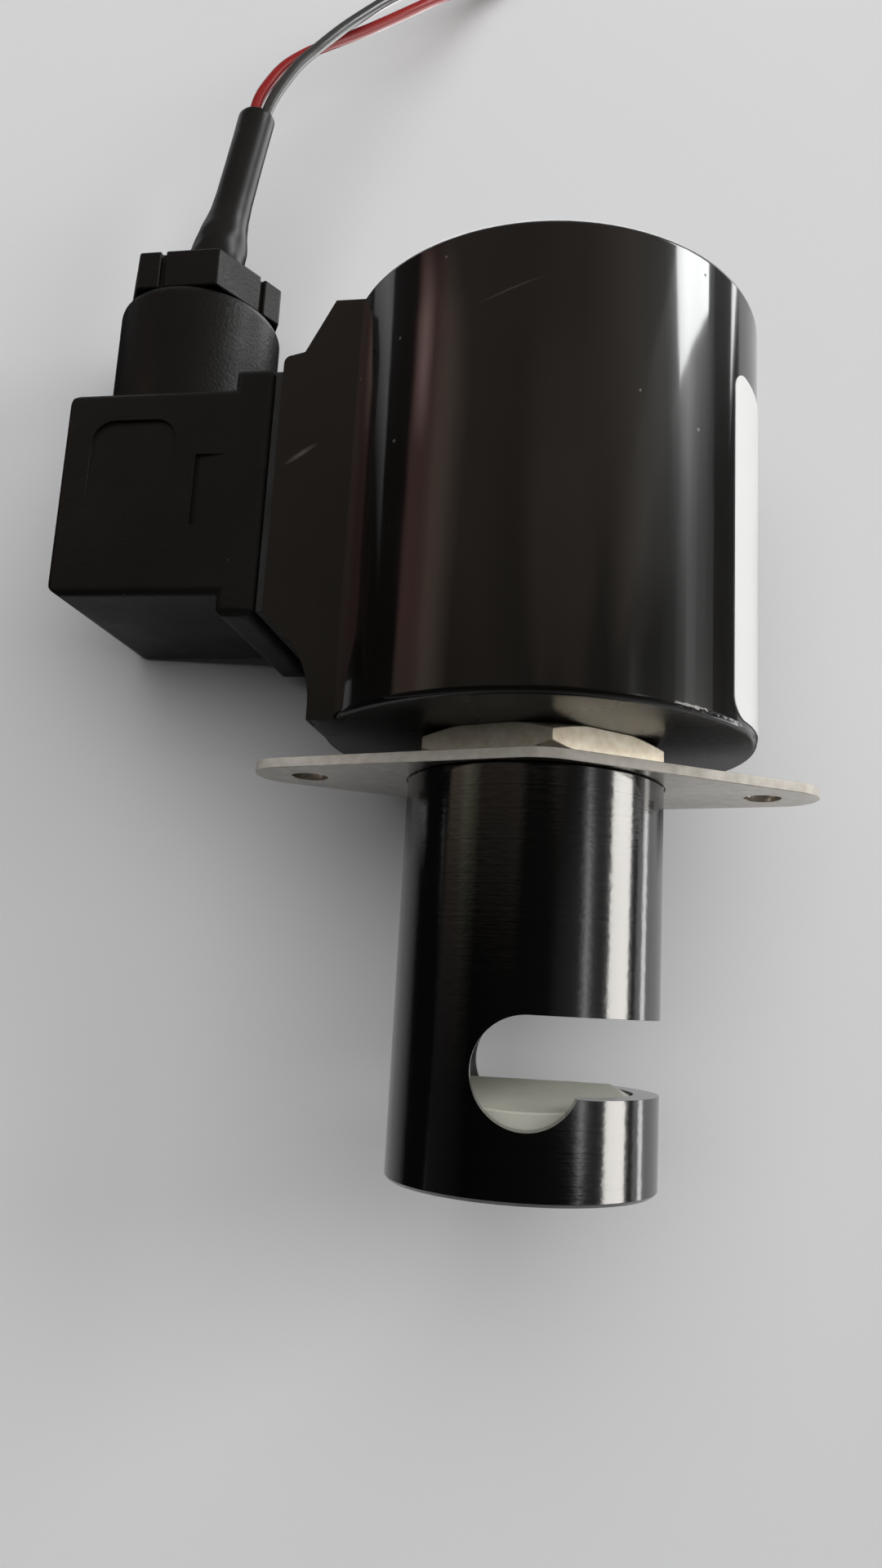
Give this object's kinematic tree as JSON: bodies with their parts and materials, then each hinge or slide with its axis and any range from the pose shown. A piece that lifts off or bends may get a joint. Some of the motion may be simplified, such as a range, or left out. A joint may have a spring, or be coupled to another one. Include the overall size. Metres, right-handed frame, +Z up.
{
  "type": "solenoid pinch valve",
  "caption": "Solenoid pinch valve with a round moulded coil, side cable plug, diamond mounting plate and a slotted nose that clamps soft tubing on a ridged anvil.",
  "frame": {"origin": "on the valve's axis, at the face of the mounting plate that meets the panel", "axes": "the valve lies on a table: +Y along its axis from the nose to the coil, +Z up from the table, the plug towards -X"},
  "size_m": [0.0989, 0.2254, 0.054],
  "materials": {
    "coil_plastic": "glossy black moulding",
    "plug_plastic": "fine-grained matte black moulding",
    "anodised": "black anodised, turned",
    "stainless": "satin stainless",
    "soft_iron": "plain ground steel",
    "white_plastic": "milky white machined plastic",
    "nylon": "natural moulded nylon",
    "winding": "enamelled copper wire",
    "brass": "plain brass",
    "rubber": "black rubber",
    "sleeve": "shrunk black sleeve",
    "red_insulation": "red flexible insulation",
    "black_insulation": "black flexible insulation",
    "label": "plain white film",
    "tinned": "tinned copper",
    "tie": "natural nylon"
  },
  "bodies": {
    "valve": {"coil_housing": "coil_plastic", "coil_winding": "winding", "coil_bobbin": "nylon", "yoke_tube": "soft_iron", "lower_pole_plate": "soft_iron", "upper_pole_plate": "soft_iron", "guide_tube": "stainless", "fixed_core": "soft_iron", "guide_bush": "brass", "rod_seal": "rubber", "tube_end_plug": "stainless", "coil_washer": "stainless", "coil_retaining_nut": "stainless", "body_nut": "stainless", "mounting_plate": "stainless", "nose_body": "anodised", "anvil": "white_plastic", "anvil_screw": "stainless", "return_spring": "stainless", "terminal_blades": "tinned", "socket_contacts": "brass", "connector_gasket": "rubber", "plug_housing": "plug_plastic", "plug_insert": "plug_plastic", "plug_screw": "stainless", "gland_nut": "plug_plastic", "gland_washer": "stainless", "gland_grommet": "rubber", "shrink_sleeve": "sleeve", "label": "label", "lead_red": "red_insulation", "lead_black": "black_insulation", "lead_red_coil": "red_insulation", "lead_black_coil": "black_insulation", "lead_tie": "tie", "lead_tips": "tinned"},
    "plunger": {"armature": "soft_iron", "push_rod": "stainless", "pinch_head": "white_plastic", "head_pin": "stainless"}
  },
  "joints": [
    {"name": "plunger_stroke", "type": "slide", "parent": "valve", "child": "plunger", "axis": [0, -1, 0], "range_m": [0, 0.006], "stiffness_N_per_m": 1500, "springref_m": -0.004, "deforming": ["return_spring"]}
  ]
}
